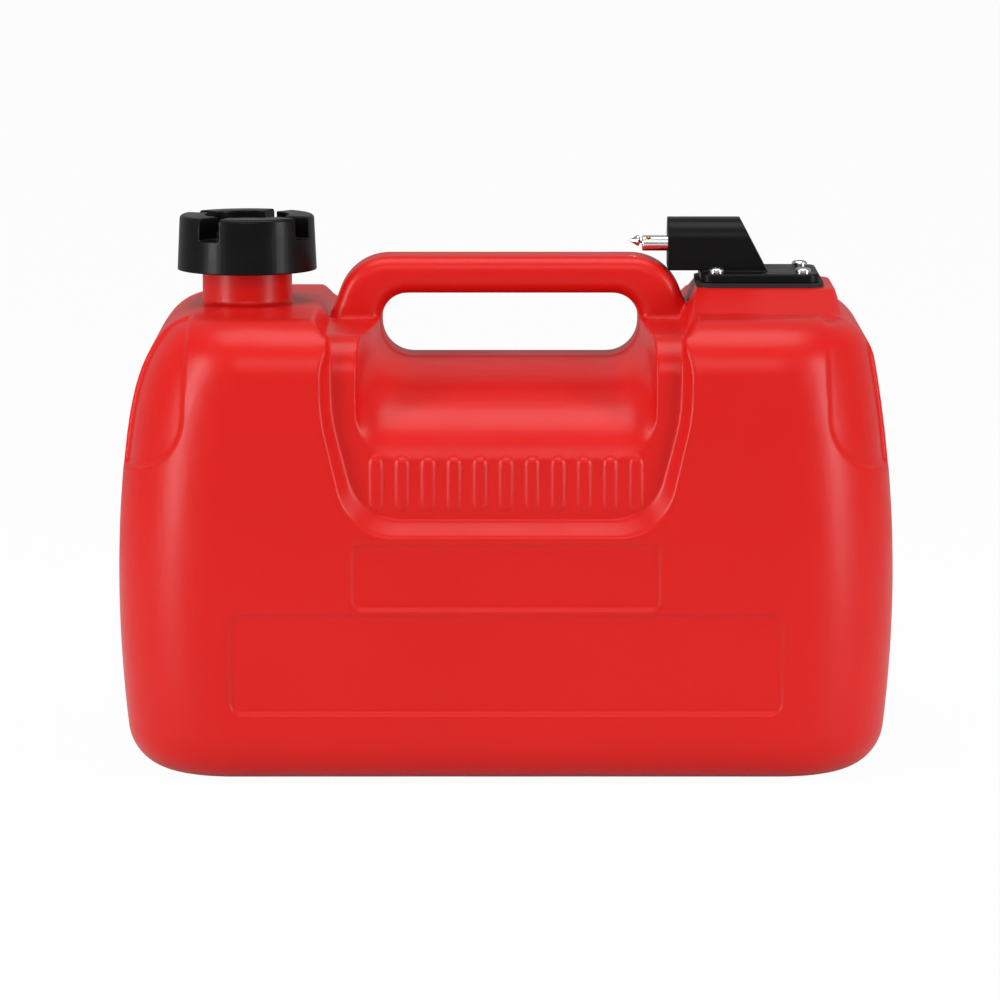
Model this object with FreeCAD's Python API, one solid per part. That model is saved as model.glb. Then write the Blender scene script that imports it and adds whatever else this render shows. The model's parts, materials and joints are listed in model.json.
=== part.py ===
import FreeCAD, Part
import math
import os
from FreeCAD import Vector

# Driving dimensions in millimetres: X runs along the tank, Y to its back, Z up from the floor

# Tank shell
tankLength = 363.2
tankDepth = 205.0
shoulderHeight = 214.5
wall = 3.0
bellyHeight = 90.0
endLeanTop = 13.5
endLeanBottom = 6.5
neckEndSlope = 17.0
neckEndSharpness = 8
faceLeanTop = 2.0
faceLeanBottom = 1.5
planCorner = 50.0
shellStations = (0.0, 0.2, 0.42, 0.66, 0.82, 0.92, 1.0)
bottomRound = 23.0
topRound = 27.0

# Recess that carries the handle: a wide U on each face, joined over the top
recessDepth = 7.0
recessTopHalf = 89.0
recessKneeHalf = 86.5
recessKneeHeight = 172.0
recessFootHalf = 73.0
recessFloor = 116.0
recessBevelSide = 5.2
recessBevelFloor = 7.0
recessKneeRound = 90.0
recessFootRound = 26.0

# Handle, hand hole and saddle
handleCentre = 2.0
handleTop = 237.2
handleDepth = 32.0
handleFootHalf = 86.5
handleFootHeight = 205.0
handleFootRound = 10.0
handleBendHalf = 74.5
handleBendRound = 25.0
handleEdgeRound = 7.0
handleRoot = 160.0
holeHalf = 60.7
holeTop = 219.4
holeFloor = 190.0
holeFloorRound = 15.0
holeTopRound = 12.0
scoopHalf = 68.5
scoopRound = 18.0
scoopGap = 0.6

# Recessed vertical corners and recessed panels
cornerRecessDepth = 2.6
cornerRecessHalf = 147.0
cornerRecessFloor = 148.0
cornerRecessRound = 26.0
cornerRecessFade = 9.0
panelDepth = 1.4
widePanelHalf = 128.0
widePanelLow = 33.0
widePanelHigh = 80.0
smallPanelHalf = 71.5
smallPanelLow = 81.8
smallPanelHigh = 113.0
panelRound = 5.0
ribCount = 11
ribPitch = 12.0
ribWidth = 4.6
ribLow = 128.0
ribHigh = 152.0
ribHeight = 1.2

# Filler neck and its screw thread
neckX = -123.0
neckRadius = 21.3
neckWall = 3.0
neckRim = 240.0
neckBoreDepth = 50.0
threadPitch = 6.0
threadTurns = 1.2
threadHeight = 1.8
threadFoot = 2.3
threadCrest = 1.3
threadRoot = 0.4
capThreadTurns = 1.0
threadTopGap = 2.2
threadGap = 0.5

# Filler cap
capRadius = 33.1
capTopRadius = 31.9
capBottom = 230.0
capTop = 256.0
capSkirt = 2.8
capPlate = 3.0
capCollarWall = 2.6
gasketThickness = 2.2
gasketGap = 0.15
lobeCount = 4
lobeHeight = 10.6
lobeInner = 20.0
notchAngle = 20.0
notchTurn = -32.0
lobeRound = 1.8
lobeWallAngle = 5.0

# Vent screw in the cap
ventKnobRadius = 9.5
ventKnobHeight = 7.0
ventKnobRound = 1.2
ventFlutes = 8
ventFluteRadius = 1.6
ventStemRadius = 3.0
ventGap = 0.08
ventPassage = 1.0
ventWasher = 1.1
ventWasherRadius = 6.5
ventClip = 1.2
ventClipRadius = 5.0
ventPlay = 0.3
ventStemBelow = 3.4

# Raised pad and pickup housing on the right shoulder
padLeft = 90.0
padRight = 155.0
padFootLeft = 82.0
padFootRight = 160.0
padTopHalf = 31.0
padFootHalf = 82.0
padTop = 223.5
padFoot = 206.0
padRound = 10.0
padOuterRound = 36.0
baseCentre = 120.0
baseLength = 56.0
baseDepth = 49.0
baseThickness = 4.3
baseRound = 6.0
plateEdgeRound = 1.0
gasketRim = 2.0
baseGasket = 2.0
screwSpacingX = 41.0
screwSpacingY = 34.0
screwHeadRadius = 3.7
screwHeadHeight = 2.3
screwRadius = 2.0
screwHole = 2.3
screwLength = 15.0
firstScrewTurn = 25.0
screwTurnStep = 33.0
crossLength = 0.55
crossWidth = 0.1
crossDepth = 0.6
insertRadius = 3.6
insertLength = 10.0
pickupOpening = 12.5
openingDepth = 30.0
pickupCentre = 110.0

# Hood over the connector
hoodLeft = 76.7
hoodTopRight = 111.0
hoodRight = 124.0
hoodTop = 254.6
hoodHalf = 13.0
hoodWall = 2.0
hoodRound = 10.0
hoodUnderside = 230.4
hoodEndWall = 3.0

# Connector: nozzle, locking pin and the block that carries them
prongHeight = 242.8
prongSpacing = 12.0
nozzleRadius = 3.65
nozzleTip = 64.5
nozzleTipRound = 0.8
nozzleBore = 2.35
nozzleMouth = 1.3
nozzleTipWall = 1.6
portRadius = 1.35
portFromTip = 3.0
portTilt = 41.0
pinRadius = 2.4
pinTip = 58.3
pinHeadRadius = 2.55
pinHeadLength = 4.2
pinNeckRadius = 1.3
pinNeckLength = 2.2
pinHeadRim = 0.8
pinStep = 0.7
pinShoulder = 1.0
blockLength = 18.0
blockHalf = 10.4
blockHeight = 12.0
blockRound = 2.5
shankRadius = 2.8
shankLength = 13.0
crossBore = 1.6
crossOverlap = 0.4
plugLength = 1.6
fit = 0.05
blockScrewRadius = 1.4
blockScrewHead = 2.4
blockScrewHeadHeight = 1.5
blockScrewLength = 9.0
blockScrewSpacing = 7.6

# Check valve inside the nozzle
poppetLength = 7.0
poppetGap = 0.08
noseRadius = 1.1
noseLength = 1.2
grooveFromTip = 3.6
grooveWidth = 0.9
grooveRadius = 1.6
sealWire = 0.33
springWire = 0.5
springWireSides = 8
springRadius = 1.6
springTurns = 8
valveTravel = 3.0
springLength = 11.5
seatLength = 2.0
seatBore = 1.1

# Elbow, pickup tube and strainer
elbowX = 106.0
elbowRadius = 4.0
elbowBore = 2.4
elbowBend = 7.0
elbowWall = 1.2
elbowFlange = 0.8
spigotLength = 2.5
spigotWall = 0.9
bossRadius = 7.0
bossDrop = 8.0
elbowSealWire = 0.62
elbowSealDrop = 4.0
barbRadius = 3.5
barbLength = 17.0
barbRidges = 3
tubeRadius = 5.6
tubeBore = 3.9
tubeTopGap = 1.0
clampWidth = 7.0
clampThickness = 0.8
clampDrop = 5.0
clampEar = 4.0
filterRadius = 9.0
filterLength = 26.0
filterFloorGap = 4.0
filterWall = 1.2
filterWindows = 6
windowShare = 0.38
filterSpigot = 12.0
footThickness = 3.0
footRound = 1.0
meshThickness = 0.5

os.makedirs("parts", exist_ok=True)


# Helpers

def save(name, shape):
    shape.exportStep("parts/" + name + ".step")


def cylinder(radius, height, x, y, z, direction=Vector(0, 0, 1)):
    return Part.makeCylinder(radius, height, Vector(x, y, z), direction)


def box(x0, x1, y0, y1, z0, z1):
    return Part.makeBox(x1 - x0, y1 - y0, z1 - z0, Vector(x0, y0, z0))


def ring(outer, inner, z0, z1, x, y):
    return cylinder(outer, z1 - z0, x, y, z0).cut(cylinder(inner, z1 - z0 + 2, x, y, z0 - 1))


# Closed outline through corner points (u, v, round), lines joined by tangent arcs
def roundedOutline(corners, place):
    count = len(corners)
    edges = []
    ends = []
    for i in range(count):
        before = Vector(*corners[i - 1][:2], 0)
        here = Vector(*corners[i][:2], 0)
        after = Vector(*corners[(i + 1) % count][:2], 0)
        radius = corners[i][2]
        toBefore = (before - here).normalize()
        toAfter = (after - here).normalize()
        if radius <= 0:
            ends.append((here, None, here))
            continue
        half = toBefore.getAngle(toAfter) / 2
        reach = radius / math.tan(half)
        bisector = (toBefore + toAfter).normalize()
        centre = here + bisector * (radius / math.sin(half))
        ends.append((here + toBefore * reach, centre - bisector * radius, here + toAfter * reach))
    for i in range(count):
        first, middle, last = ends[i]
        if middle is not None:
            edges.append(Part.Arc(place(first), place(middle), place(last)).toShape())
        following = ends[(i + 1) % count][0]
        if (following - last).Length > 1e-6:
            edges.append(Part.LineSegment(place(last), place(following)).toShape())
    return Part.Wire(edges)


def onFront(y):
    return lambda point: Vector(point.x, y, point.y)


def onPlan(z):
    return lambda point: Vector(point.x, point.y, z)


def onSide(x):
    return lambda point: Vector(x, point.x, point.y)


def planRectangle(halfX, halfY, radius, z, centreX=0.0, centreY=0.0):
    corners = []
    for signX, signY in ((-1, -1), (1, -1), (1, 1), (-1, 1)):
        corners.append((centreX + signX * halfX, centreY + signY * halfY, radius))
    return roundedOutline(corners, onPlan(z))


def prism(wire, direction):
    return Part.Face(wire).extrude(direction)


# Tank shell: the inset gives the same form at a distance inside the outer skin

def halfLengthAt(z):
    if z > bellyHeight:
        lean = endLeanTop * ((z - bellyHeight) / (shoulderHeight - bellyHeight)) ** 2
    else:
        lean = endLeanBottom * ((bellyHeight - z) / bellyHeight) ** 2
    return tankLength / 2 - lean


# The end under the filler neck slopes off more towards the shoulder than the other end
def neckEndLean(z):
    rise = max(0.0, (z - bellyHeight) / (shoulderHeight - bellyHeight))
    return neckEndSlope * rise ** neckEndSharpness


def halfDepthAt(z):
    if z > bellyHeight:
        lean = faceLeanTop * ((z - bellyHeight) / (shoulderHeight - bellyHeight)) ** 2
    else:
        lean = faceLeanBottom * ((bellyHeight - z) / bellyHeight) ** 2
    return tankDepth / 2 - lean


def roundedShell(inset, sharper=0.0):
    wires = []
    for share in shellStations:
        z = inset + (shoulderHeight - 2 * inset) * share
        lean = neckEndLean(z)
        wires.append(planRectangle(halfLengthAt(z) - lean / 2 - inset, halfDepthAt(z) - inset,
                                   planCorner - inset, z, lean / 2))
    block = Part.makeLoft(wires, True, False)
    low = [edge for edge in block.Edges if edge.BoundBox.ZMax < inset + 0.1]
    block = block.makeFillet(bottomRound - inset, low)
    high = [edge for edge in block.Edges if edge.BoundBox.ZMin > shoulderHeight - inset - 0.1]
    return block.makeFillet(topRound - inset - sharper, high)


# Outline of the U recess: spread 0 at its floor, 1 at the face
def recessCorners(spread, grow):
    side = recessBevelSide * (1 - spread) - grow
    low = recessFloor + recessBevelFloor * (1 - spread) - grow
    high = handleTop + 20
    return [
        (-(recessTopHalf - side), high, 0),
        (-(recessKneeHalf - side), recessKneeHeight, recessKneeRound),
        (-(recessFootHalf - side), low, recessFootRound),
        (recessFootHalf - side, low, recessFootRound),
        (recessKneeHalf - side, recessKneeHeight, recessKneeRound),
        (recessTopHalf - side, high, 0),
    ]


def recessTool(grow):
    depth = recessDepth + grow
    reach = 5.0
    face = tankDepth / 2 - grow
    spreadOut = 1 + reach / recessDepth
    tool = prism(
        roundedOutline(recessCorners(0, grow), onFront(-face + recessDepth)),
        Vector(0, 2 * (face - recessDepth), 0))
    for side in (-1, 1):
        outer = roundedOutline(recessCorners(spreadOut, grow), onFront(side * (face + reach)))
        inner = roundedOutline(recessCorners(0, grow), onFront(side * (face - recessDepth)))
        tool = tool.fuse(Part.makeLoft([outer, inner], True, True))
    bevelLow = shoulderHeight - depth
    bevel = roundedOutline([
        (-(recessTopHalf - recessBevelSide) - grow, bevelLow, 0),
        (-(recessTopHalf + recessBevelSide) - grow, bevelLow + 2 * recessDepth, 0),
        (recessTopHalf + recessBevelSide + grow, bevelLow + 2 * recessDepth, 0),
        (recessTopHalf - recessBevelSide + grow, bevelLow, 0),
    ], onFront(-face))
    return tool.fuse(prism(bevel, Vector(0, 2 * face, 0)))


# Curved floor of the scoop between the handle's legs: (distance from middle, drop, share of flare)
scoopFloor = (
    (0, 0, 0), (25, 1.8, 0.1), (48, 5.6, 0.35), (68, 11.0, 0.65),
    (82, 19.0, 0.85), (91, 29.0, 0.95), (96, 43.0, 1.0),
)


def scoopTool(grow):
    high = handleTop + 20
    tool = None
    for side in (-1, 1):
        wires = []
        for distance, drop, share in scoopFloor:
            half = holeHalf + scoopGap + (scoopHalf - holeHalf) * share + grow
            low = holeFloor - scoopGap - drop - grow
            radius = holeFloorRound + (scoopRound - holeFloorRound) * share
            wires.append(roundedOutline([
                (handleCentre * (1 - share) - half, high, 0),
                (handleCentre * (1 - share) - half, low, radius),
                (handleCentre * (1 - share) + half, low, radius),
                (handleCentre * (1 - share) + half, high, 0),
            ], onFront(side * distance)))
        half = Part.makeLoft(wires, True, False)
        tool = half if tool is None else tool.fuse(half)
    return tool


# Handle as an upright arch with a hand hole, its edges rounded
def handleArch(inset):
    half = handleDepth / 2 - inset
    left = handleCentre - handleFootHalf + inset
    right = handleCentre + handleFootHalf - inset
    bendLeft = handleCentre - handleBendHalf + inset
    bendRight = handleCentre + handleBendHalf - inset
    top = handleTop - inset
    outline = roundedOutline([
        (left, handleRoot, 0),
        (right, handleRoot, 0),
        (right, handleFootHeight, handleFootRound),
        (bendRight, top, handleBendRound - inset),
        (bendLeft, top, handleBendRound - inset),
        (left, handleFootHeight, handleFootRound),
    ], onFront(-half))
    arch = prism(outline, Vector(0, 2 * half, 0))
    hole = roundedOutline([
        (handleCentre - holeHalf - inset, holeFloor - inset, holeFloorRound),
        (handleCentre + holeHalf + inset, holeFloor - inset, holeFloorRound),
        (handleCentre + holeHalf + inset, holeTop + inset, holeTopRound),
        (handleCentre - holeHalf - inset, holeTop + inset, holeTopRound),
    ], onFront(-half - 1))
    arch = arch.cut(prism(hole, Vector(0, 2 * half + 2, 0)))
    flat = [edge for edge in arch.Edges if edge.BoundBox.YLength < 0.01]
    edges = [edge for edge in flat if edge.BoundBox.ZMax > handleRoot + 1]
    return arch.makeFillet(handleEdgeRound - inset, edges)


def cornerTool(signX, signY, grow):
    face = tankDepth / 2
    outline = roundedOutline([
        (signX * (cornerRecessHalf - grow), shoulderHeight + 5, 0),
        (signX * (cornerRecessHalf + 3 - grow), cornerRecessFloor - grow, cornerRecessRound),
        (signX * (tankLength / 2 + 10), cornerRecessFloor - 5 - grow, 0),
        (signX * (tankLength / 2 + 10), shoulderHeight + 5, 0),
    ], onFront(signY * (face + 5)))
    return prism(outline, Vector(0, -signY * (planCorner + 5), 0))


def raisedPad(inset):
    footY = padFootHalf - inset
    topY = padTopHalf - inset
    inner = padRound - inset
    outer = padOuterRound - inset
    foot = roundedOutline([
        (padFootLeft + inset, -footY, inner), (padFootRight - inset, -footY, outer),
        (padFootRight - inset, footY, outer), (padFootLeft + inset, footY, inner)], onPlan(padFoot))
    top = roundedOutline([
        (padLeft + inset, -topY, inner), (padRight - inset, -topY, inner),
        (padRight - inset, topY, inner), (padLeft + inset, topY, inner)], onPlan(padTop - inset))
    return Part.makeLoft([foot, top], True, True)


# The whole outer or inner form of the tank, without the neck
def tankForm(inset):
    form = roundedShell(inset)
    cornerCore = roundedShell(inset + cornerRecessDepth, cornerRecessFade)
    for signX in (-1, 1):
        for signY in (-1, 1):
            form = form.cut(cornerTool(signX, signY, inset).cut(cornerCore))
    core = roundedShell(inset + recessDepth)
    form = form.cut(recessTool(inset).cut(core))
    form = form.cut(scoopTool(inset))
    form = form.fuse(handleArch(inset))
    form = form.fuse(raisedPad(inset))
    return form


def panelTool(half, low, high, side):
    outline = roundedOutline([
        (-half, low, panelRound), (half, low, panelRound),
        (half, high, panelRound), (-half, high, panelRound),
    ], onFront(side * (tankDepth / 2 + 5)))
    return prism(outline, Vector(0, -side * 25, 0))


def faceRibs(side):
    face = halfDepthAt((ribLow + ribHigh) / 2) - recessDepth
    corner = ribWidth / 2 - 0.1
    ribs = []
    for i in range(ribCount):
        x = (i - (ribCount - 1) / 2) * ribPitch
        left = x - ribWidth / 2
        right = x + ribWidth / 2
        outline = roundedOutline([(left, ribLow, corner), (right, ribLow, corner),
                                  (right, ribHigh, corner), (left, ribHigh, corner)],
                                 onFront(side * (face - wall / 2)))
        ribs.append(prism(outline, Vector(0, side * (wall / 2 + ribHeight), 0)))
    return ribs


# Helical ridge of trapezoid section, standing out of (sign 1) or into (sign -1) a wall
def threadRidge(wallRadius, sign, low, turns, x):
    root = wallRadius - sign * threadRoot
    crest = wallRadius + sign * threadHeight
    helix = Part.makeHelix(threadPitch, threadPitch * turns, root)
    points = [
        Vector(root, 0, -threadFoot / 2), Vector(crest, 0, -threadCrest / 2),
        Vector(crest, 0, threadCrest / 2), Vector(root, 0, threadFoot / 2),
    ]
    profile = Part.makePolygon(points + points[:1])
    ridge = Part.Wire(helix.Edges).makePipeShell([profile], True, True)
    ridge.translate(Vector(x, 0, low))
    return ridge


def screwPlaces():
    return [(baseCentre + sx * screwSpacingX / 2, sy * screwSpacingY / 2) for sx in (-1, 1) for sy in (-1, 1)]


def makeTankBody():
    outer = tankForm(0.0)
    core = roundedShell(panelDepth)
    for side in (-1, 1):
        for half, low, high in ((widePanelHalf, widePanelLow, widePanelHigh),
                                (smallPanelHalf, smallPanelLow, smallPanelHigh)):
            outer = outer.cut(panelTool(half, low, high, side).cut(core))
        outer = outer.fuse(faceRibs(side))
    outer = outer.fuse(cylinder(neckRadius, neckRim - padFoot, neckX, 0, padFoot))
    inner = tankForm(wall)
    for x, y in screwPlaces():
        inner = inner.cut(cylinder(insertRadius + wall, padTop, x, y, padTop - insertLength - wall))
    body = outer.cut(inner)
    body = body.cut(cylinder(neckRadius - neckWall, 2 * neckBoreDepth, neckX, 0, neckRim - neckBoreDepth))
    body = body.cut(cylinder(pickupOpening, 2 * openingDepth, pickupCentre, 0, padTop - openingDepth))
    for x, y in screwPlaces():
        body = body.cut(cylinder(insertRadius + fit, insertLength + 5, x, y, padTop - insertLength))
    ridge = threadRidge(neckRadius, 1, neckRim - threadTopGap - threadPitch * threadTurns, threadTurns, neckX)
    return body.fuse(ridge)


# Filler cap and vent screw

# Wedge between two lobes, widened by a number of degrees for the walls of the hollow lobes
def capNotch(index, widen, low):
    half = math.radians(notchAngle / 2 + widen)
    reach = capRadius + 5
    side = reach * math.sin(half)
    corners = [Vector(0, 0, 0), Vector(-side, -reach, 0), Vector(side, -reach, 0)]
    wedge = Part.Face(Part.makePolygon(corners + corners[:1])).extrude(Vector(0, 0, lobeHeight + 20))
    wedge.rotate(Vector(0, 0, 0), Vector(0, 0, 1), notchTurn + index * 360.0 / lobeCount)
    wedge.translate(Vector(neckX, 0, low))
    return wedge


def makeFillerCap():
    plateTop = capTop - lobeHeight
    plateLow = plateTop - capPlate
    collarInner = neckRadius + threadHeight + threadGap
    collarOuter = collarInner + capCollarWall
    cap = Part.makeCone(capRadius, capTopRadius, capTop - capBottom, Vector(neckX, 0, capBottom))
    rim = [edge for edge in cap.Edges if edge.BoundBox.ZMin > capTop - 0.1]
    cap = cap.makeFillet(lobeRound, rim)
    cap = cap.cut(cylinder(lobeInner, lobeHeight + 1, neckX, 0, plateTop))
    slot = ring(capTopRadius - capSkirt, collarOuter, capBottom - 1, capTop - capPlate, neckX, 0)
    for index in range(lobeCount):
        cap = cap.cut(capNotch(index, 0, plateTop))
        slot = slot.cut(capNotch(index, lobeWallAngle, plateLow))
    cap = cap.cut(slot)
    cap = cap.cut(cylinder(collarInner, plateLow - capBottom + 1, neckX, 0, capBottom - 1))
    cap = cap.cut(cylinder(ventStemRadius + ventGap, capPlate + 4, neckX, 0, plateLow - 2))
    low = neckRim - threadTopGap - threadPitch * threadTurns + threadPitch / 2
    return cap.fuse(threadRidge(collarInner, -1, low, capThreadTurns, neckX))


def makeCapGasket():
    return ring(neckRadius, neckRadius - neckWall, neckRim + gasketGap,
                capTop - lobeHeight - capPlate - gasketGap, neckX, 0)


def makeVentKnob():
    seat = capTop - lobeHeight + gasketGap + ventWasher
    knob = cylinder(ventKnobRadius, ventKnobHeight, neckX, 0, seat)
    rim = [edge for edge in knob.Edges if edge.BoundBox.ZMin > seat + ventKnobHeight - 0.1]
    knob = knob.makeFillet(ventKnobRound, rim)
    for index in range(ventFlutes):
        turn = 2 * math.pi * index / ventFlutes
        x = neckX + ventKnobRadius * math.cos(turn)
        y = ventKnobRadius * math.sin(turn)
        knob = knob.cut(cylinder(ventFluteRadius, ventKnobHeight + 2, x, y, seat - 1))
    low = capTop - lobeHeight - capPlate - ventStemBelow
    knob = knob.fuse(cylinder(ventStemRadius, seat - low + 1, neckX, 0, low))
    knob = knob.cut(cylinder(ventPassage, seat - low, neckX, 0, low - 1))
    return knob.cut(cylinder(ventPassage, 2 * ventKnobRadius, neckX, 0, seat - 1, Vector(1, 0, 0)))


def makeVentWasher():
    low = capTop - lobeHeight + gasketGap
    return ring(ventWasherRadius, ventStemRadius + fit, low, low + ventWasher, neckX, 0)


def makeVentClip():
    high = capTop - lobeHeight - capPlate - ventPlay
    return ring(ventClipRadius, ventStemRadius + fit, high - ventClip, high, neckX, 0)


# Pickup housing, its gasket, screws and inserts

def makeBaseGasket():
    plate = prism(planRectangle(baseLength / 2 + gasketRim, baseDepth / 2 + gasketRim, baseRound + gasketRim,
                                padTop, baseCentre), Vector(0, 0, baseGasket))
    for x, y in screwPlaces():
        plate = plate.cut(cylinder(screwHole, baseGasket + 2, x, y, padTop - 1))
    return plate.cut(cylinder(pickupOpening, baseGasket + 2, pickupCentre, 0, padTop - 1))


# Arched section of the hood, the inset giving its inner wall
def hoodSection(inset, x, low):
    half = hoodHalf - inset
    top = hoodTop - inset
    return roundedOutline([(-half, low, 0), (half, low, 0), (half, top, hoodRound - inset),
                           (-half, top, hoodRound - inset)], onSide(x))


# Everything behind the slanted back of the hood, at a distance inside it
def behindHood(inset):
    plateTop = padTop + baseGasket + baseThickness
    slope = (hoodRight - hoodTopRight) / (hoodTop - plateTop)
    shift = inset * math.sqrt(1 + slope * slope)
    reach = 20.0
    outline = Part.makePolygon([
        Vector(hoodRight + slope * reach - shift, -reach, plateTop - reach),
        Vector(hoodTopRight - slope * reach - shift, -reach, hoodTop + reach),
        Vector(hoodRight + 3 * reach, -reach, hoodTop + reach),
        Vector(hoodRight + 3 * reach, -reach, plateTop - reach),
        Vector(hoodRight + slope * reach - shift, -reach, plateTop - reach),
    ])
    return prism(outline, Vector(0, 2 * reach, 0))


def makePickupHousing():
    low = padTop + baseGasket
    plateTop = low + baseThickness
    plate = prism(planRectangle(baseLength / 2, baseDepth / 2, baseRound, low, baseCentre),
                  Vector(0, 0, baseThickness))
    rim = [edge for edge in plate.Edges if edge.BoundBox.ZMin > plateTop - 0.1]
    plate = plate.makeFillet(plateEdgeRound, rim)
    hood = prism(hoodSection(0, hoodLeft, hoodUnderside), Vector(hoodRight - hoodLeft, 0, 0))
    footLeft = baseCentre - baseLength / 2 + plateEdgeRound
    foot = box(footLeft, hoodRight, -hoodHalf, hoodHalf, low + 1, hoodUnderside)
    hood = hood.fuse(foot).cut(behindHood(0))
    cavity = prism(hoodSection(hoodWall, hoodLeft + hoodEndWall, hoodUnderside - 1),
                   Vector(hoodRight - hoodLeft, 0, 0))
    left = baseCentre - baseLength / 2 + hoodWall
    pocket = box(left, hoodRight, -hoodHalf + hoodWall, hoodHalf - hoodWall, plateTop, hoodUnderside)
    cavity = cavity.fuse(pocket).cut(behindHood(hoodWall))
    housing = plate.fuse(cylinder(bossRadius, bossDrop, elbowX, 0, low - bossDrop)).fuse(hood).cut(cavity)
    bossHeight = bossDrop + baseThickness
    housing = housing.cut(cylinder(elbowRadius + fit, bossHeight + 2, elbowX, 0, low - bossDrop - 1))
    sealLow = low - elbowSealDrop
    groove = elbowRadius + fit + 2 * elbowSealWire + fit
    housing = housing.cut(cylinder(groove, 2 * elbowSealWire + 2 * fit, elbowX, 0, sealLow))
    for x, y in screwPlaces():
        housing = housing.cut(cylinder(screwHole, baseThickness + 2, x, y, low - 1))
    along = Vector(1, 0, 0)
    for y, radius in ((-prongSpacing / 2, nozzleRadius), (prongSpacing / 2, pinRadius)):
        housing = housing.cut(cylinder(radius + fit, hoodEndWall + 2, hoodLeft - 1, y, prongHeight, along))
    for z in blockScrewHeights():
        screwWay = cylinder(blockScrewRadius + 2 * fit, hoodEndWall + 2, hoodLeft - 1, 0, z, along)
        headSeat = cylinder(blockScrewHead + fit, blockScrewHeadHeight + 1, hoodLeft - 1, 0, z, along)
        housing = housing.cut(screwWay).cut(headSeat)
    return housing


def blockScrewHeights():
    return [prongHeight - blockScrewSpacing / 2, prongHeight + blockScrewSpacing / 2]


# Pan-head screw pointing down from the origin, with a cross recess
def panScrew(shankRadius, length, headRadius, headHeight):
    head = cylinder(headRadius, headHeight, 0, 0, 0)
    rim = [edge for edge in head.Edges if edge.BoundBox.ZMin > headHeight - 0.01]
    depth = headHeight * crossDepth
    head = head.makeFillet(depth, rim)
    slotHalf = headRadius * crossLength
    slotWide = headRadius * crossWidth
    head = head.cut(box(-slotHalf, slotHalf, -slotWide, slotWide, headHeight - depth, headHeight + 1))
    head = head.cut(box(-slotWide, slotWide, -slotHalf, slotHalf, headHeight - depth, headHeight + 1))
    return head.fuse(cylinder(shankRadius, length, 0, 0, -length))


def makeBaseScrews():
    screws = []
    for index, place in enumerate(screwPlaces()):
        screw = panScrew(screwRadius, screwLength, screwHeadRadius, screwHeadHeight)
        screw.rotate(Vector(0, 0, 0), Vector(0, 0, 1), firstScrewTurn + screwTurnStep * index)
        screw.translate(Vector(place[0], place[1], padTop + baseGasket + baseThickness))
        screws.append(screw)
    return Part.makeCompound(screws)


def makeThreadedInserts():
    inserts = []
    for x, y in screwPlaces():
        low = padTop - insertLength
        insert = cylinder(insertRadius, insertLength, x, y, low)
        bore = screwLength - baseGasket - baseThickness + 0.5
        inserts.append(insert.cut(cylinder(screwRadius + fit, bore + 1, x, y, padTop - bore)))
    return Part.makeCompound(inserts)


# Connector with its nozzle, locking pin and check valve

def makeConnectorBody():
    left = hoodLeft + hoodEndWall
    half = blockHeight / 2
    low = prongHeight - half
    high = low + blockHeight
    section = roundedOutline([
        (-blockHalf, low, blockRound), (blockHalf, low, blockRound),
        (blockHalf, high, blockRound), (-blockHalf, high, blockRound),
    ], onSide(left))
    block = prism(section, Vector(blockLength, 0, 0))
    along = Vector(1, 0, 0)
    across = Vector(0, 1, 0)
    for y in (-prongSpacing / 2, prongSpacing / 2):
        block = block.cut(cylinder(shankRadius + fit, shankLength, left, y, prongHeight, along))
    for z in blockScrewHeights():
        block = block.cut(cylinder(blockScrewRadius + fit, blockScrewLength, left, 0, z, along))
    crossX = left + shankLength + crossBore - crossOverlap
    block = block.cut(cylinder(crossBore, blockHalf + 1, crossX, -blockHalf, prongHeight, across))
    block = block.cut(cylinder(elbowBore + fit, blockLength, crossX, 0, prongHeight, along))
    return block


def makePassagePlug():
    crossX = hoodLeft + hoodEndWall + shankLength + crossBore - crossOverlap
    return cylinder(crossBore - fit, plugLength, crossX, -blockHalf, prongHeight, Vector(0, 1, 0))


def makeFuelNozzle():
    y = -prongSpacing / 2
    along = Vector(1, 0, 0)
    wallX = hoodLeft + hoodEndWall
    nozzle = cylinder(nozzleRadius, wallX - nozzleTip, nozzleTip, y, prongHeight, along)
    tip = [edge for edge in nozzle.Edges if edge.BoundBox.XMax < nozzleTip + 0.1]
    nozzle = nozzle.makeFillet(nozzleTipRound, tip)
    nozzle = nozzle.fuse(cylinder(shankRadius, shankLength, wallX, y, prongHeight, along))
    boreStart = nozzleTip + nozzleTipWall
    nozzle = nozzle.cut(cylinder(nozzleBore, wallX + shankLength, boreStart, y, prongHeight, along))
    nozzle = nozzle.cut(cylinder(nozzleMouth, nozzleTipWall + 2, nozzleTip - 1, y, prongHeight, along))
    tilt = math.radians(portTilt)
    side = Vector(0, -math.cos(tilt), math.sin(tilt))
    return nozzle.cut(cylinder(portRadius, 2 * nozzleRadius, nozzleTip + portFromTip, y, prongHeight, side))


def makeLockingPin():
    headEnd = pinTip + pinHeadLength
    neckStart = headEnd + pinHeadRim + pinStep
    neckEnd = neckStart + pinNeckLength
    rootX = hoodLeft + hoodEndWall + shankLength
    points = [
        (pinTip, 0), (headEnd, pinHeadRadius), (headEnd + pinHeadRim, pinHeadRadius),
        (neckStart, pinNeckRadius), (neckEnd, pinNeckRadius),
        (neckEnd + pinShoulder, pinRadius), (rootX, pinRadius), (rootX, 0),
    ]
    y = prongSpacing / 2
    profile = Part.makePolygon([Vector(px, y, prongHeight + radius) for px, radius in points + points[:1]])
    return Part.Face(profile).revolve(Vector(0, y, prongHeight), Vector(1, 0, 0), 360)


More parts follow.
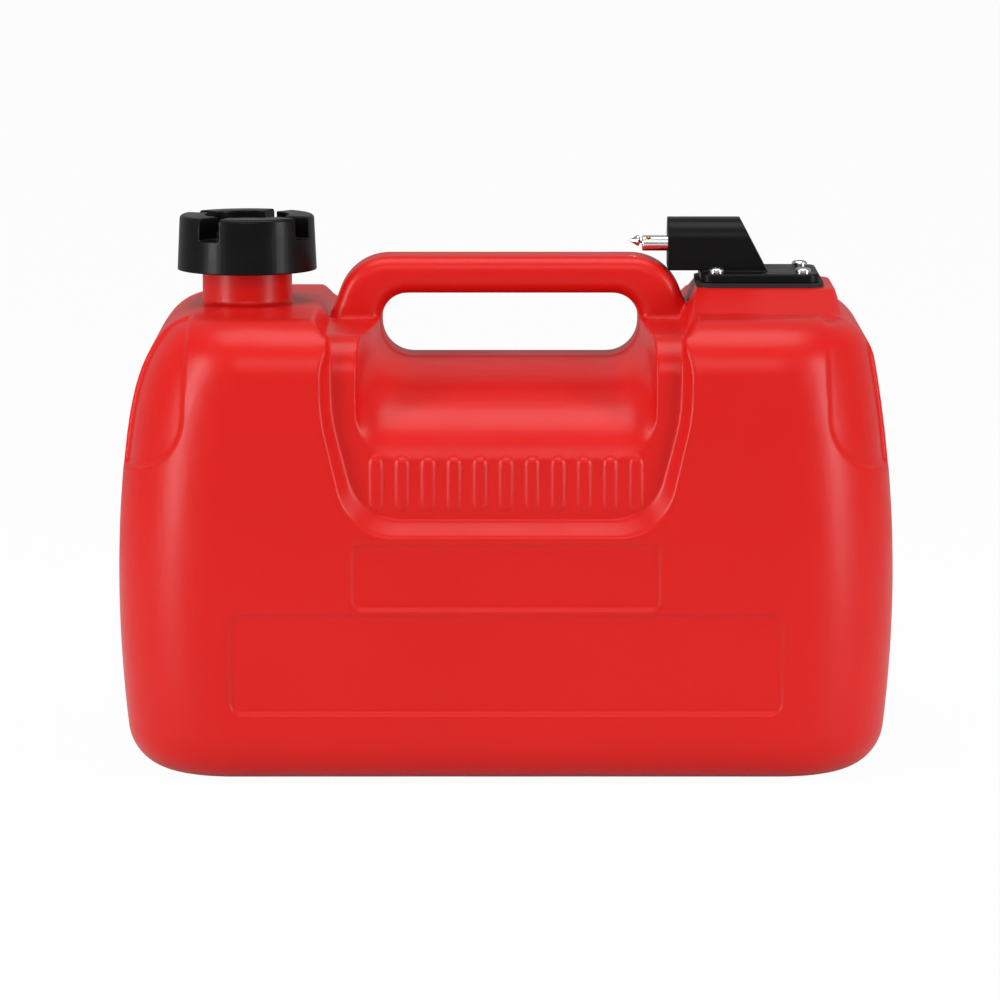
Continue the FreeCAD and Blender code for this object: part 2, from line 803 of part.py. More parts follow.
def makeConnectorScrews():
    screws = []
    for z in blockScrewHeights():
        screw = panScrew(blockScrewRadius, blockScrewLength - 1, blockScrewHead, blockScrewHeadHeight - 0.1)
        screw.rotate(Vector(0, 0, 0), Vector(0, 1, 0), -90)
        screw.translate(Vector(hoodLeft + blockScrewHeadHeight, 0, z))
        screws.append(screw)
    return Part.makeCompound(screws)


def makeCheckPoppet():
    y = -prongSpacing / 2
    start = nozzleTip + nozzleTipWall + fit
    along = Vector(1, 0, 0)
    poppet = cylinder(nozzleBore - poppetGap, poppetLength, start, y, prongHeight, along)
    poppet = poppet.fuse(cylinder(noseRadius, noseLength + 1, start - noseLength, y, prongHeight, along))
    groove = cylinder(nozzleBore, grooveWidth, start + grooveFromTip, y, prongHeight, along)
    core = cylinder(grooveRadius, grooveWidth, start + grooveFromTip, y, prongHeight, along)
    return poppet.cut(groove.cut(core))


def makePoppetSeal():
    x = nozzleTip + nozzleTipWall + fit + grooveFromTip + grooveWidth / 2
    centre = Vector(x, -prongSpacing / 2, prongHeight)
    return Part.makeTorus(grooveRadius + sealWire + 0.01, sealWire, centre, Vector(1, 0, 0))


# Least gap between neighbouring turns of the spring, measured on points along its wire
def springGap(steps=40):
    pitch = (springLength - 2 * springWire) / springTurns
    points = []
    for i in range(springTurns * steps):
        turn = 2 * math.pi * i / steps
        points.append(Vector(pitch * i / steps, springRadius * math.cos(turn), springRadius * math.sin(turn)))
    least = min((points[i + steps] - points[i]).Length for i in range(len(points) - steps))
    return least - springWire


def makeValveSpring():
    pitch = (springLength - 2 * springWire) / springTurns
    helix = Part.makeHelix(pitch, pitch * springTurns, springRadius)
    corners = []
    for i in range(springWireSides + 1):
        turn = 2 * math.pi * i / springWireSides
        outwards = springWire / 2 * math.cos(turn)
        corners.append(Vector(springRadius + outwards, 0, springWire / 2 * math.sin(turn)))
    spring = Part.Wire(helix.Edges).makePipeShell([Part.makePolygon(corners)], True, True)
    spring.rotate(Vector(0, 0, 0), Vector(0, 1, 0), 90)
    start = nozzleTip + nozzleTipWall + fit + poppetLength + springWire
    spring.translate(Vector(start, -prongSpacing / 2, prongHeight))
    return spring


def makeSpringSeat():
    x = nozzleTip + nozzleTipWall + fit + poppetLength + springLength
    y = -prongSpacing / 2
    along = Vector(1, 0, 0)
    seat = cylinder(nozzleBore - fit, seatLength, x, y, prongHeight, along)
    return seat.cut(cylinder(seatBore, seatLength + 2, x - 1, y, prongHeight, along))


# Elbow, pickup tube and strainer

def barbTop():
    return padTop + baseGasket - bossDrop


def makeElbow():
    start = hoodLeft + hoodEndWall + blockLength
    bendX = elbowX - elbowBend
    bendZ = prongHeight - elbowBend
    low = barbTop()
    shape = cylinder(elbowBore, spigotLength + 1, start - spigotLength, 0, prongHeight, Vector(1, 0, 0))
    for radius, sign in ((elbowRadius, 1), (elbowRadius - elbowWall, -1)):
        first = start if sign > 0 else start + elbowFlange
        run = cylinder(radius, bendX - first, first, 0, prongHeight, Vector(1, 0, 0))
        circle = Part.Wire(Part.makeCircle(radius, Vector(bendX, 0, prongHeight), Vector(1, 0, 0)))
        bend = Part.Face(circle).revolve(Vector(bendX, 0, bendZ), Vector(0, 1, 0), 90)
        drop = cylinder(radius, bendZ - low, elbowX, 0, low)
        pipe = run.fuse(bend).fuse(drop)
        shape = shape.fuse(pipe) if sign > 0 else shape.cut(pipe)
    bore = elbowBore - spigotWall
    along = Vector(1, 0, 0)
    shape = shape.cut(cylinder(bore, spigotLength + 3, start - spigotLength - 1, 0, prongHeight, along))
    barb = cylinder(barbRadius, barbLength, elbowX, 0, low - barbLength)
    step = barbLength / barbRidges
    for index in range(barbRidges):
        ridge = Part.makeCone(barbRadius - 0.3, tubeBore - fit, step * 0.6,
                              Vector(elbowX, 0, low - barbLength + step * index + 0.5))
        barb = barb.fuse(ridge)
    barb = barb.fuse(ring(elbowRadius, barbRadius - 1, low - 0.5, low + 1, elbowX, 0))
    shape = shape.fuse(barb)
    return shape.cut(cylinder(elbowBore, barbLength + 4, elbowX, 0, low - barbLength - 2))


def makeElbowSeal():
    z = padTop + baseGasket - elbowSealDrop + elbowSealWire + fit
    return Part.makeTorus(elbowRadius + fit + elbowSealWire, elbowSealWire, Vector(elbowX, 0, z))


def filterTop():
    return wall + filterFloorGap + footThickness + filterLength


def makePickupTube():
    return ring(tubeRadius, tubeBore, filterTop(), barbTop() - tubeTopGap, elbowX, 0)


def makeTubeClamp():
    high = barbTop() - clampDrop
    outer = tubeRadius + fit + clampThickness
    clamp = cylinder(outer, clampWidth, elbowX, 0, high - clampWidth)
    ear = box(elbowX, elbowX + outer + clampEar - 1, -clampThickness, clampThickness, high - clampWidth, high)
    clamp = clamp.fuse(ear)
    return clamp.cut(cylinder(tubeRadius + fit, clampWidth + 2, elbowX, 0, high - clampWidth - 1))


def makeFilterBody():
    low = filterTop() - filterLength
    outer = filterRadius - meshThickness - fit
    cage = ring(outer, outer - filterWall, low, low + filterLength - filterWall, elbowX, 0)
    windowLow = low + 3 * filterWall
    windowHigh = low + filterLength - 4 * filterWall
    for index in range(filterWindows // 2):
        windowHalf = outer * windowShare
        window = box(-filterRadius, filterRadius, -windowHalf, windowHalf, windowLow, windowHigh)
        window.rotate(Vector(0, 0, 0), Vector(0, 0, 1), 360.0 / filterWindows * index)
        window.translate(Vector(elbowX, 0, 0))
        cage = cage.cut(window)
    cage = cage.fuse(cylinder(filterRadius, filterWall, elbowX, 0, low + filterLength - filterWall))
    cage = cage.fuse(cylinder(tubeBore - fit, filterSpigot, elbowX, 0, low + filterLength - 0.5))
    return cage.cut(cylinder(elbowBore, filterSpigot + 5, elbowX, 0, low + filterLength - 3))


def makeFilterMesh():
    low = filterTop() - filterLength
    return ring(filterRadius, filterRadius - meshThickness, low, low + filterLength - filterWall, elbowX, 0)


def makeFilterFoot():
    low = filterTop() - filterLength
    inner = filterRadius - meshThickness - 2 * fit - filterWall
    foot = cylinder(filterRadius, footThickness, elbowX, 0, low - footThickness)
    rim = [edge for edge in foot.Edges if edge.BoundBox.ZMax < low - footThickness + 0.1]
    foot = foot.makeFillet(footRound, rim)
    return foot.fuse(cylinder(inner, 2 * filterWall, elbowX, 0, low - 0.5))


pieces = {
    "tank_body": makeTankBody,
    "filler_cap": makeFillerCap,
    "cap_gasket": makeCapGasket,
    "vent_knob": makeVentKnob,
    "vent_washer": makeVentWasher,
    "vent_clip": makeVentClip,
    "pickup_housing": makePickupHousing,
    "base_gasket": makeBaseGasket,
    "base_screws": makeBaseScrews,
    "threaded_inserts": makeThreadedInserts,
    "connector_body": makeConnectorBody,
    "connector_screws": makeConnectorScrews,
    "passage_plug": makePassagePlug,
    "fuel_nozzle": makeFuelNozzle,
    "locking_pin": makeLockingPin,
    "check_poppet": makeCheckPoppet,
    "poppet_seal": makePoppetSeal,
    "valve_spring": makeValveSpring,
    "spring_seat": makeSpringSeat,
    "elbow": makeElbow,
    "elbow_seal": makeElbowSeal,
    "pickup_tube": makePickupTube,
    "tube_clamp": makeTubeClamp,
    "filter_body": makeFilterBody,
    "filter_mesh": makeFilterMesh,
    "filter_foot": makeFilterFoot,
}

for name, make in pieces.items():
    piece = make()
    volume = round(piece.Volume / 1000, 3)
    print(name, "valid", piece.isValid(), "solids", len(piece.Solids), "volume", volume, "cm3")
    save(name, piece)
print("least gap between spring turns", round(springGap(), 2), "mm")
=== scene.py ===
import json
import math

import bpy
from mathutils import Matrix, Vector

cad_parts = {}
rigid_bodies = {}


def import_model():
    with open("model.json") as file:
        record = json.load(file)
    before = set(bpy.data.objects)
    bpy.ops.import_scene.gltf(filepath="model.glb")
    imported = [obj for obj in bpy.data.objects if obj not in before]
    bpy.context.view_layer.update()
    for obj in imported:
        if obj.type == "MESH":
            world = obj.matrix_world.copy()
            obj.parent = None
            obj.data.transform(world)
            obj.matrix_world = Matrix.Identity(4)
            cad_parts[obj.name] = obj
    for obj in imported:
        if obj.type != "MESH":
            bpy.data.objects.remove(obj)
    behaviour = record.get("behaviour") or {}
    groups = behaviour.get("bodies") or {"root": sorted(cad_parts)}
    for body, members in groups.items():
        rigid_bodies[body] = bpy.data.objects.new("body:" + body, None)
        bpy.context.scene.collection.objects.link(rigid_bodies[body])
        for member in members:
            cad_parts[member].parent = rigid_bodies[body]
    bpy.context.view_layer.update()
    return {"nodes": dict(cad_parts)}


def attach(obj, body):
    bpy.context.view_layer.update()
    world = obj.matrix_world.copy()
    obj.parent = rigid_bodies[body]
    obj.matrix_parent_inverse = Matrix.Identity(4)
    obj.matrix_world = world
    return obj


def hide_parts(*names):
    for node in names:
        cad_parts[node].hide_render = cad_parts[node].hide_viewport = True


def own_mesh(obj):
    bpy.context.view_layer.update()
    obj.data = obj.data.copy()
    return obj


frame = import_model()
nodes = frame["nodes"]
mergeDistance = 0.00001      # joins the doubled corners along a node's edges


# Small helpers for selecting and finishing meshes

def deselectAll():
    if bpy.context.object and bpy.context.object.mode != "OBJECT":
        bpy.ops.object.mode_set(mode="OBJECT")
    bpy.ops.object.select_all(action="DESELECT")


def makeActive(piece):
    deselectAll()
    piece.select_set(True)
    bpy.context.view_layer.objects.active = piece


def copyOfNode(nodeName, pieceName):
    piece = bpy.data.objects.new(pieceName, nodes[nodeName].data.copy())
    bpy.context.scene.collection.objects.link(piece)
    makeActive(piece)
    bpy.ops.object.mode_set(mode="EDIT")
    bpy.ops.mesh.select_all(action="SELECT")
    bpy.ops.mesh.remove_doubles(threshold=mergeDistance)
    bpy.ops.object.mode_set(mode="OBJECT")
    return piece


def selectFaces(piece, wanted):
    makeActive(piece)
    bpy.ops.object.mode_set(mode="EDIT")
    bpy.ops.mesh.select_mode(type="FACE")
    bpy.ops.mesh.select_all(action="DESELECT")
    bpy.ops.object.mode_set(mode="OBJECT")
    for face in piece.data.polygons:
        face.select = wanted(face.center)
    bpy.ops.object.mode_set(mode="EDIT")


def keepFaces(piece, wanted):
    selectFaces(piece, lambda point: not wanted(point))
    bpy.ops.mesh.delete(type="FACE")
    bpy.ops.object.mode_set(mode="OBJECT")


def selectLinkedTo(piece, place):
    makeActive(piece)
    bpy.ops.object.mode_set(mode="EDIT")
    bpy.ops.mesh.select_mode(type="VERT")
    bpy.ops.mesh.select_all(action="DESELECT")
    bpy.ops.object.mode_set(mode="OBJECT")
    nearest = min(piece.data.vertices, key=lambda vertex: (vertex.co - Vector(place)).length)
    nearest.select = True
    bpy.ops.object.mode_set(mode="EDIT")
    bpy.ops.mesh.select_linked(delimit=set())


def keepLinkedTo(piece, place):
    selectLinkedTo(piece, place)
    bpy.ops.mesh.select_all(action="INVERT")
    bpy.ops.mesh.delete(type="VERT")
    bpy.ops.object.mode_set(mode="OBJECT")


def closeHoles(piece):
    makeActive(piece)
    bpy.ops.object.mode_set(mode="EDIT")
    bpy.ops.mesh.select_all(action="SELECT")
    bpy.ops.mesh.fill_holes(sides=0)
    bpy.ops.mesh.select_all(action="SELECT")
    bpy.ops.mesh.quads_convert_to_tris()
    bpy.ops.object.mode_set(mode="OBJECT")


def applyModifiers(piece):
    makeActive(piece)
    for modifier in list(piece.modifiers):
        bpy.ops.object.modifier_apply(modifier=modifier.name)


def triangleCount(piece):
    return sum(len(face.vertices) - 2 for face in piece.data.polygons)


def thinTo(piece, triangles):
    count = triangleCount(piece)
    if count > triangles:
        thin = piece.modifiers.new("thin", "DECIMATE")
        thin.ratio = triangles / count
        applyModifiers(piece)


# Even grid over the piece, smoothed so that its edges are round, then thinned
def soften(piece, voxel, passes, triangles):
    grid = piece.modifiers.new("grid", "REMESH")
    grid.mode = "VOXEL"
    grid.voxel_size = voxel
    grid.use_smooth_shade = True
    smooth = piece.modifiers.new("smooth", "SMOOTH")
    smooth.factor = 0.5
    smooth.iterations = passes
    applyModifiers(piece)
    thinTo(piece, triangles)


def smoothShade(piece, degrees=35):
    makeActive(piece)
    bpy.ops.object.shade_smooth_by_angle(angle=math.radians(degrees))


def setMaterial(piece, material):
    piece.data.materials.clear()
    piece.data.materials.append(material)


# Materials

noiseRange = (0.3, 0.7)      # nearly all values of a noise texture lie between these


def newMaterial(name):
    material = bpy.data.materials.new(name)
    material.use_nodes = True
    shader = material.node_tree.nodes["Principled BSDF"]
    return material, material.node_tree.nodes, material.node_tree.links, shader


def noiseTexture(tree, links, scale, detail=2.0, stretch=(1, 1, 1)):
    place = tree.new("ShaderNodeTexCoord")
    mapping = tree.new("ShaderNodeMapping")
    mapping.inputs["Scale"].default_value = stretch
    noise = tree.new("ShaderNodeTexNoise")
    noise.inputs["Scale"].default_value = scale
    noise.inputs["Detail"].default_value = detail
    links.new(place.outputs["Object"], mapping.inputs["Vector"])
    links.new(mapping.outputs["Vector"], noise.inputs["Vector"])
    return noise


def spread(tree, links, source, low, high):
    ramp = tree.new("ShaderNodeMapRange")
    ramp.inputs["From Min"].default_value = noiseRange[0]
    ramp.inputs["From Max"].default_value = noiseRange[1]
    ramp.inputs["To Min"].default_value = low
    ramp.inputs["To Max"].default_value = high
    links.new(source, ramp.inputs["Value"])
    return ramp.outputs["Result"]


def tintBetween(tree, links, source, darker, lighter):
    mix = tree.new("ShaderNodeMix")
    mix.data_type = "RGBA"
    mix.inputs["A"].default_value = (*darker, 1)
    mix.inputs["B"].default_value = (*lighter, 1)
    links.new(source, mix.inputs["Factor"])
    return mix.outputs["Result"]


def addBump(tree, links, shader, layers):
    last = None
    for height, strength, distance in layers:
        bump = tree.new("ShaderNodeBump")
        bump.inputs["Strength"].default_value = strength
        bump.inputs["Distance"].default_value = distance
        links.new(height, bump.inputs["Height"])
        if last:
            links.new(last, bump.inputs["Normal"])
        last = bump.outputs["Normal"]
    links.new(last, shader.inputs["Normal"])


# Parting line of the two mould halves, where Y is nearly 0
def seamLine(tree, links, halfWidth):
    place = tree.new("ShaderNodeTexCoord")
    split = tree.new("ShaderNodeSeparateXYZ")
    size = tree.new("ShaderNodeMath")
    size.operation = "ABSOLUTE"
    ridge = tree.new("ShaderNodeMapRange")
    ridge.interpolation_type = "SMOOTHSTEP"
    ridge.inputs["From Min"].default_value = 0.0
    ridge.inputs["From Max"].default_value = halfWidth
    ridge.inputs["To Min"].default_value = 1.0
    ridge.inputs["To Max"].default_value = 0.0
    links.new(place.outputs["Object"], split.inputs["Vector"])
    links.new(split.outputs["Y"], size.inputs[0])
    links.new(size.outputs["Value"], ridge.inputs["Value"])
    return ridge.outputs["Result"]


redPlasticLook = {
    "darker": (0.56, 0.006, 0.004),
    "lighter": (0.63, 0.008, 0.006),
    "roughness": (0.30, 0.38),
    "reflection": 0.26,
    "cloud": (9, 3),              # noise scale and detail of the colour
    "patch": (40, 4),             # of the roughness
    "wave": (14, 1),              # of the uneven wall
    "grain": (1400, 2),           # of the mould's surface
    "seamHalfWidth": 0.0006,
    "waveBump": (0.35, 0.0012),   # strength and distance
    "grainBump": (0.10, 0.0001),
    "seamBump": (0.6, 0.0003),
}


def redTankPlastic(name, look):
    material, tree, links, shader = newMaterial(name)
    cloud = noiseTexture(tree, links, *look["cloud"])
    links.new(tintBetween(tree, links, cloud.outputs["Fac"], look["darker"], look["lighter"]),
              shader.inputs["Base Color"])
    patch = noiseTexture(tree, links, *look["patch"])
    links.new(spread(tree, links, patch.outputs["Fac"], *look["roughness"]), shader.inputs["Roughness"])
    shader.inputs["Specular IOR Level"].default_value = look["reflection"]
    wave = noiseTexture(tree, links, *look["wave"])
    grain = noiseTexture(tree, links, *look["grain"])
    seam = seamLine(tree, links, look["seamHalfWidth"])
    addBump(tree, links, shader, [(wave.outputs["Fac"], *look["waveBump"]),
                                  (grain.outputs["Fac"], *look["grainBump"]),
                                  (seam, *look["seamBump"])])
    return material


mouldedLook = {
    "cloud": (60, 3),             # noise scale and detail of colour and roughness
    "darkerShare": 0.8,
    "roughnessSpread": 0.05,
    "grainDetail": 3,
    "grainDistance": 0.0001,
}


def mouldedPlastic(name, colour, roughness, grainScale, grainStrength, reflection=0.3):
    material, tree, links, shader = newMaterial(name)
    cloud = noiseTexture(tree, links, *mouldedLook["cloud"])
    darker = tuple(value * mouldedLook["darkerShare"] for value in colour)
    links.new(tintBetween(tree, links, cloud.outputs["Fac"], darker, colour), shader.inputs["Base Color"])
    links.new(spread(tree, links, cloud.outputs["Fac"], roughness - mouldedLook["roughnessSpread"],
                     roughness + mouldedLook["roughnessSpread"]), shader.inputs["Roughness"])
    shader.inputs["Specular IOR Level"].default_value = reflection
    grain = noiseTexture(tree, links, grainScale, mouldedLook["grainDetail"])
    addBump(tree, links, shader, [(grain.outputs["Fac"], grainStrength, mouldedLook["grainDistance"])])
    return material


metalLook = {
    "streak": (900, 4),           # noise scale and detail
    "darkerShare": 0.88,
    "roughnessShares": (0.7, 1.4),
    "scratchDistance": 0.00005,
}


def bareMetal(name, colour, roughness, stretch=(1, 1, 1), scratch=0.15):
    material, tree, links, shader = newMaterial(name)
    streak = noiseTexture(tree, links, *metalLook["streak"], stretch)
    darker = tuple(value * metalLook["darkerShare"] for value in colour)
    links.new(tintBetween(tree, links, streak.outputs["Fac"], darker, colour), shader.inputs["Base Color"])
    smoothest, roughest = metalLook["roughnessShares"]
    links.new(spread(tree, links, streak.outputs["Fac"], roughness * smoothest, roughness * roughest),
              shader.inputs["Roughness"])
    shader.inputs["Metallic"].default_value = 1.0
    addBump(tree, links, shader, [(streak.outputs["Fac"], scratch, metalLook["scratchDistance"])])
    return material


meshLook = {
    "gaps": (0.25, 0.25, 0.25),
    "wires": (0.62, 0.62, 0.6),
    "wireScale": 600,
    "roughness": 0.4,
    "wireBump": (0.5, 0.0002),    # strength and distance
}


def wovenMesh(name, look):
    material, tree, links, shader = newMaterial(name)
    place = tree.new("ShaderNodeTexCoord")
    bands = []
    for direction in ("DIAGONAL", "Z"):
        wave = tree.new("ShaderNodeTexWave")
        wave.bands_direction = direction
        wave.inputs["Scale"].default_value = look["wireScale"]
        links.new(place.outputs["Object"], wave.inputs["Vector"])
        bands.append(wave.outputs["Fac"])
    links.new(tintBetween(tree, links, bands[0], look["gaps"], look["wires"]), shader.inputs["Base Color"])
    shader.inputs["Metallic"].default_value = 1.0
    shader.inputs["Roughness"].default_value = look["roughness"]
    addBump(tree, links, shader, [(band, *look["wireBump"]) for band in bands])
    return material


tankRed = redTankPlastic("redTankPlastic", redPlasticLook)
capBlack = mouldedPlastic("capBlackPlastic", (0.0035, 0.0035, 0.0038), roughness=0.30,
                          grainScale=1800, grainStrength=0.10, reflection=0.14)
housingBlack = mouldedPlastic("housingBlackNylon", (0.003, 0.003, 0.0033), roughness=0.36,
                              grainScale=1500, grainStrength=0.14, reflection=0.13)
sealBlack = mouldedPlastic("sealRubber", (0.016, 0.016, 0.016), roughness=0.7,
                           grainScale=900, grainStrength=0.3)
clipWhite = mouldedPlastic("acetalClip", (0.75, 0.75, 0.72), roughness=0.4,
                           grainScale=900, grainStrength=0.1)
nylonNatural = mouldedPlastic("naturalNylon", (0.72, 0.70, 0.62), roughness=0.38,
                              grainScale=700, grainStrength=0.12)
screwChrome = bareMetal("platedScrewSteel", (0.78, 0.78, 0.79), roughness=0.16)
connectorChrome = bareMetal("polishedChrome", (0.80, 0.80, 0.82), roughness=0.09,
                            stretch=(0.15, 1, 1), scratch=0.08)
turnedBrass = bareMetal("turnedBrass", (0.76, 0.55, 0.26), roughness=0.24)
springSteel = bareMetal("springSteel", (0.62, 0.62, 0.64), roughness=0.26, stretch=(1, 1, 0.2))
strainerMesh = wovenMesh("strainerMesh", meshLook)

nodeMaterials = {
    "tank_body": tankRed,
    "filler_cap": capBlack,
    "vent_knob": capBlack,
    "cap_gasket": sealBlack,
    "vent_washer": sealBlack,
    "vent_clip": clipWhite,
    "pickup_housing": housingBlack,
    "base_gasket": sealBlack,
    "base_screws": screwChrome,
    "connector_screws": screwChrome,
    "threaded_inserts": turnedBrass,
    "connector_body": connectorChrome,
    "fuel_nozzle": connectorChrome,
    "locking_pin": connectorChrome,
    "passage_plug": turnedBrass,
    "check_poppet": turnedBrass,
    "poppet_seal": sealBlack,
    "valve_spring": springSteel,
    "spring_seat": turnedBrass,
    "elbow": turnedBrass,
    "elbow_seal": sealBlack,
    "pickup_tube": nylonNatural,
    "tube_clamp": springSteel,
    "filter_body": nylonNatural,
    "filter_mesh": strainerMesh,
    "filter_foot": nylonNatural,
}
for nodeName, material in nodeMaterials.items():
    setMaterial(nodes[nodeName], material)
print("materials done")


# Tank: a skin with softened moulded edges, a crisp threaded neck, and the inside wall

tankSkin = {
    "voxel": 0.0009,           # grid of the softened skin
    "passes": 9,               # rounds the moulded edges
    "triangles": 370000,       # both halves together
    "boreRadius": 0.0183,
    "neckX": -0.123,
    "neckWall": 0.0195,        # radius between the neck's bore and its outer wall
    "neckCrest": 0.0235,       # radius just outside the neck's thread
    "neckClear": 0.0240,
    "neckFoot": 0.205,
    "neckCut": 0.2294,         # the skin ends here, hidden under the cap
    "insideTop": 0.2135,       # the neck piece has the bore above this
    "padOpeningRadius": 0.0125,
    "padOpeningX": 0.110,
    "openingsBottom": 0.19,    # both openings lie above this
    "wallMatch": 0.0003,       # a face this near an opening's radius is its wall
}


def fromNeck(point):
    return math.hypot(point.x - tankSkin["neckX"], point.y)


def inOpenings(point):
    fromPad = math.hypot(point.x - tankSkin["padOpeningX"], point.y)
    inBore = abs(fromNeck(point) - tankSkin["boreRadius"]) < tankSkin["wallMatch"]
    inPad = abs(fromPad - tankSkin["padOpeningRadius"]) < tankSkin["wallMatch"]
    return point.z > tankSkin["openingsBottom"] and (inBore or inPad)


def onNeck(point):
    return point.z > tankSkin["neckFoot"] and fromNeck(point) < tankSkin["neckClear"]


def cutNeck(piece, wanted, keepBelow):
    selectFaces(piece, wanted)
    bpy.ops.mesh.bisect(plane_co=(0, 0, tankSkin["neckCut"]), plane_no=(0, 0, 1),
                        clear_outer=keepBelow, clear_inner=not keepBelow)
    bpy.ops.object.mode_set(mode="OBJECT")


def makeTankSkin():
    skin = copyOfNode("tank_body", "tank_skin")
    keepFaces(skin, lambda point: not inOpenings(point))
    keepLinkedTo(skin, (0, 0, 0))
    closeHoles(skin)
    soften(skin, tankSkin["voxel"], tankSkin["passes"], tankSkin["triangles"])
    cutNeck(skin, onNeck, True)
    return skin


def splitAtSeam(skin):
    halves = []
    for name, front in (("tank_skin_front", True), ("tank_skin_back", False)):
        half = bpy.data.objects.new(name, skin.data.copy())
        bpy.context.scene.collection.objects.link(half)
        selectFaces(half, lambda point: True)
        bpy.ops.mesh.bisect(plane_co=(0, 0, 0), plane_no=(0, 1, 0),
                            clear_outer=front, clear_inner=not front)
        bpy.ops.object.mode_set(mode="OBJECT")
        halves.append(half)
    bpy.data.objects.remove(skin)
    return halves


# The neck's outer wall and thread above the cut, and its bore all the way down
def makeTankNeck():
    neck = copyOfNode("tank_body", "tank_neck")
    keepFaces(neck, lambda point: onNeck(point) and fromNeck(point) < tankSkin["neckCrest"])
    cutNeck(neck, lambda point: fromNeck(point) > tankSkin["neckWall"], False)
    smoothShade(neck)
    return neck


def belowNeckPiece(point):
    return point.z <= tankSkin["insideTop"] or fromNeck(point) >= tankSkin["neckClear"]


def makeTankInside():
    inside = copyOfNode("tank_body", "tank_inside")
    keepFaces(inside, lambda point: not inOpenings(point))
    selectLinkedTo(inside, (0, 0, 0))
    bpy.ops.mesh.delete(type="VERT")
    bpy.ops.object.mode_set(mode="OBJECT")
    keepFaces(inside, belowNeckPiece)
    smoothShade(inside)
    return inside


tankPieces = splitAtSeam(makeTankSkin()) + [makeTankNeck(), makeTankInside()]
for piece in tankPieces:
    print(piece.name, triangleCount(piece))
    setMaterial(piece, tankRed)
    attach(piece, "tank")
    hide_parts("tank_body")
print("tank done")


# Black moulded parts, their edges rounded as a mould leaves them

blackParts = {
    "filler_cap": {"name": "cap_with_lobes", "body": "cap", "slot": "cap_plastic",
                   "voxel": 0.00036, "passes": 5, "triangles": 180000},
    "vent_knob": {"name": "vent_screw_knob", "body": "vent", "slot": "cap_plastic",
                  "voxel": 0.0002, "passes": 4, "triangles": 60000},
    "pickup_housing": {"name": "housing_with_hood", "body": "tank", "slot": "housing_plastic",
                       "voxel": 0.0003, "passes": 5, "triangles": 180000},
}
for nodeName, look in blackParts.items():
    piece = copyOfNode(nodeName, look["name"])
    soften(piece, look["voxel"], look["passes"], look["triangles"])
    print(look["name"], triangleCount(piece))
    setMaterial(piece, nodeMaterials[nodeName])
    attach(piece, look["body"])
    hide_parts(nodeName)
print("black parts done")


# Valve spring: a smooth-shaded copy of the node, fixed to the tank


def makeValveSpring():
    spring = copyOfNode("valve_spring", "valve_spring_coil")
    smoothShade(spring)
    setMaterial(spring, springSteel)
    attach(spring, "tank")
    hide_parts("valve_spring")
    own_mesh(spring)


makeValveSpring()


# Camera, lamps, floor

view = {
    "place": (-0.0028, -2.6, 0.5),
    "pitchDown": 8.342,        # degrees
    "lens": 197.7,             # millimetres, as is the sensor
    "sensorWidth": 36,
    "farthest": 50,
}
studio = {
    "ambient": 0.22,           # the world's light on the object
    "glossyShare": 0.16,       # how much of the white background gloss reflects
    "floorSize": 30,
    "floorShade": 0.75,
    "floorRoughness": 0.9,
    "floorGlow": 0.97,         # the rest of the floor's colour is its shaded surface
    "lamps": [
        # name, place, aimed at, width, height, watts
        ("topSoftbox", (0.0, -0.1, 1.3), (0, 0, 0.1), 1.2, 0.7, 9),
        ("leftSoftbox", (-1.25, -0.75, 0.45), (-0.1, 0, 0.12), 0.35, 1.1, 14),
        ("rightSoftbox", (1.25, -0.75, 0.45), (0.1, 0, 0.12), 0.35, 1.1, 12.5),
        ("frontFill", (0.0, -2.4, 1.6), (0, 0, 0.1), 1.4, 0.8, 12.5),
    ],
}


def makeCamera():
    camera = bpy.data.cameras.new("camera")
    camera.lens = view["lens"]
    camera.sensor_width = view["sensorWidth"]
    camera.clip_end = view["farthest"]
    holder = bpy.data.objects.new("camera", camera)
    holder.location = view["place"]
    holder.rotation_euler = (math.radians(90 - view["pitchDown"]), 0, 0)
    bpy.context.scene.collection.objects.link(holder)
    bpy.context.scene.camera = holder


def makeLamp(name, place, target, width, height, power):
    lamp = bpy.data.lights.new(name, "AREA")
    lamp.shape = "RECTANGLE"
    lamp.size = width
    lamp.size_y = height
    lamp.energy = power
    holder = bpy.data.objects.new(name, lamp)
    holder.location = place
    aim = Vector(target) - Vector(place)
    holder.rotation_euler = aim.to_track_quat("-Z", "Y").to_euler()
    bpy.context.scene.collection.objects.link(holder)


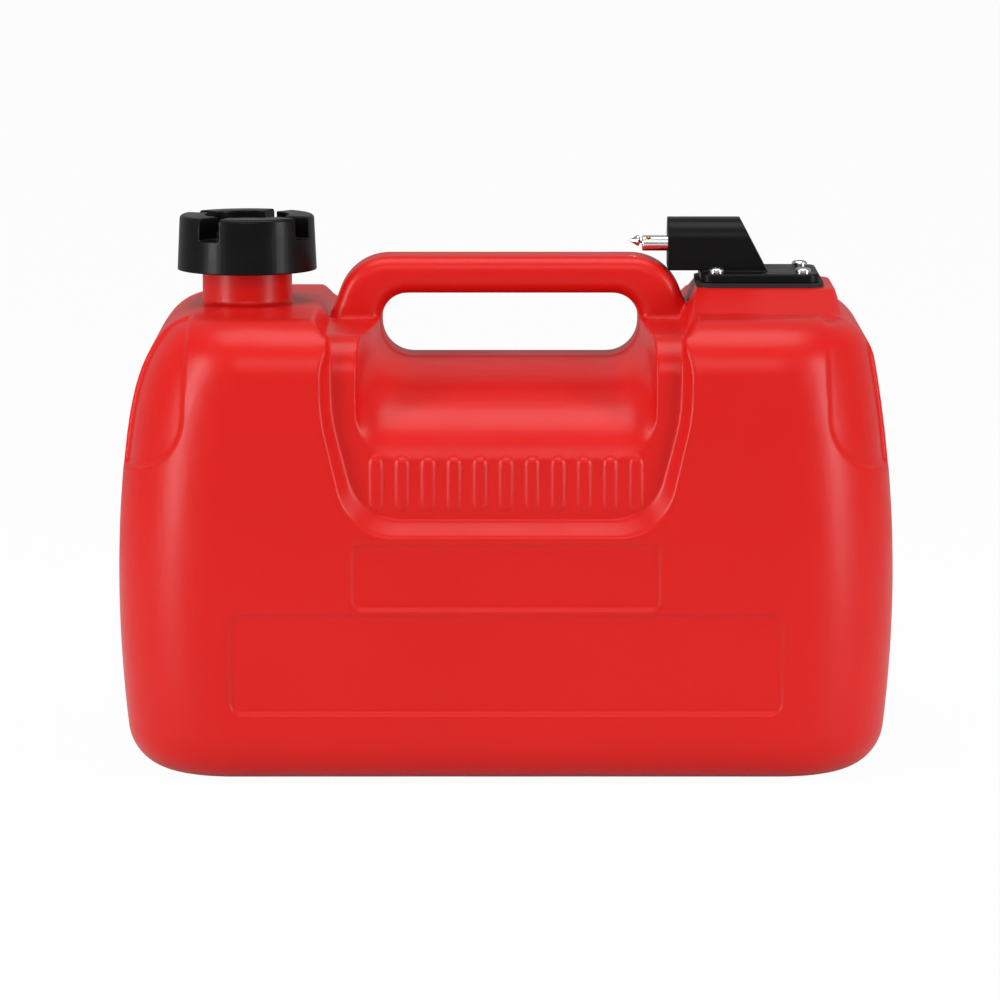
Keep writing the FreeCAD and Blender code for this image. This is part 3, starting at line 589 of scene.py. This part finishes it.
def visibleRays(tree, links, glossyShare):
    path = tree.new("ShaderNodeLightPath")
    glossy = tree.new("ShaderNodeMath")
    glossy.operation = "MULTIPLY"
    glossy.inputs[1].default_value = glossyShare
    links.new(path.outputs["Is Glossy Ray"], glossy.inputs[0])
    last = glossy.outputs["Value"]
    for kind in ("Is Camera Ray", "Is Transmission Ray"):
        either = tree.new("ShaderNodeMath")
        either.operation = "MAXIMUM"
        links.new(last, either.inputs[0])
        links.new(path.outputs[kind], either.inputs[1])
        last = either.outputs["Value"]
    return last


# White to the camera, except for the share that shows the object's shadow
def makeFloor():
    deselectAll()
    bpy.ops.mesh.primitive_plane_add(size=studio["floorSize"], location=(0, 0, 0))
    floor = bpy.context.object
    floor.name = "floor"
    material, tree, links, shader = newMaterial("paleFloor")
    shader.inputs["Base Color"].default_value = (*[studio["floorShade"]] * 3, 1)
    shader.inputs["Roughness"].default_value = studio["floorRoughness"]
    glow = tree.new("ShaderNodeEmission")
    glow.inputs["Color"].default_value = (1, 1, 1, 1)
    mix = tree.new("ShaderNodeMixShader")
    share = tree.new("ShaderNodeMath")
    share.operation = "MULTIPLY"
    share.inputs[1].default_value = studio["floorGlow"]
    links.new(visibleRays(tree, links, studio["glossyShare"]), share.inputs[0])
    links.new(share.outputs["Value"], mix.inputs["Fac"])
    links.new(shader.outputs["BSDF"], mix.inputs[1])
    links.new(glow.outputs["Emission"], mix.inputs[2])
    links.new(mix.outputs["Shader"], tree["Material Output"].inputs["Surface"])
    setMaterial(floor, material)


def makeWorld():
    world = bpy.data.worlds.new("studio")
    bpy.context.scene.world = world
    world.use_nodes = True
    tree = world.node_tree.nodes
    links = world.node_tree.links
    background = tree["Background"]
    background.inputs["Color"].default_value = (1, 1, 1, 1)
    strength = tree.new("ShaderNodeMapRange")
    strength.inputs["To Min"].default_value = studio["ambient"]
    strength.inputs["To Max"].default_value = 1.0
    links.new(visibleRays(tree, links, studio["glossyShare"]), strength.inputs["Value"])
    links.new(strength.outputs["Result"], background.inputs["Strength"])


makeCamera()
makeFloor()
makeWorld()
for lampValues in studio["lamps"]:
    makeLamp(*lampValues)
print("studio done")
bpy.context.scene.view_settings.view_transform = "Standard"
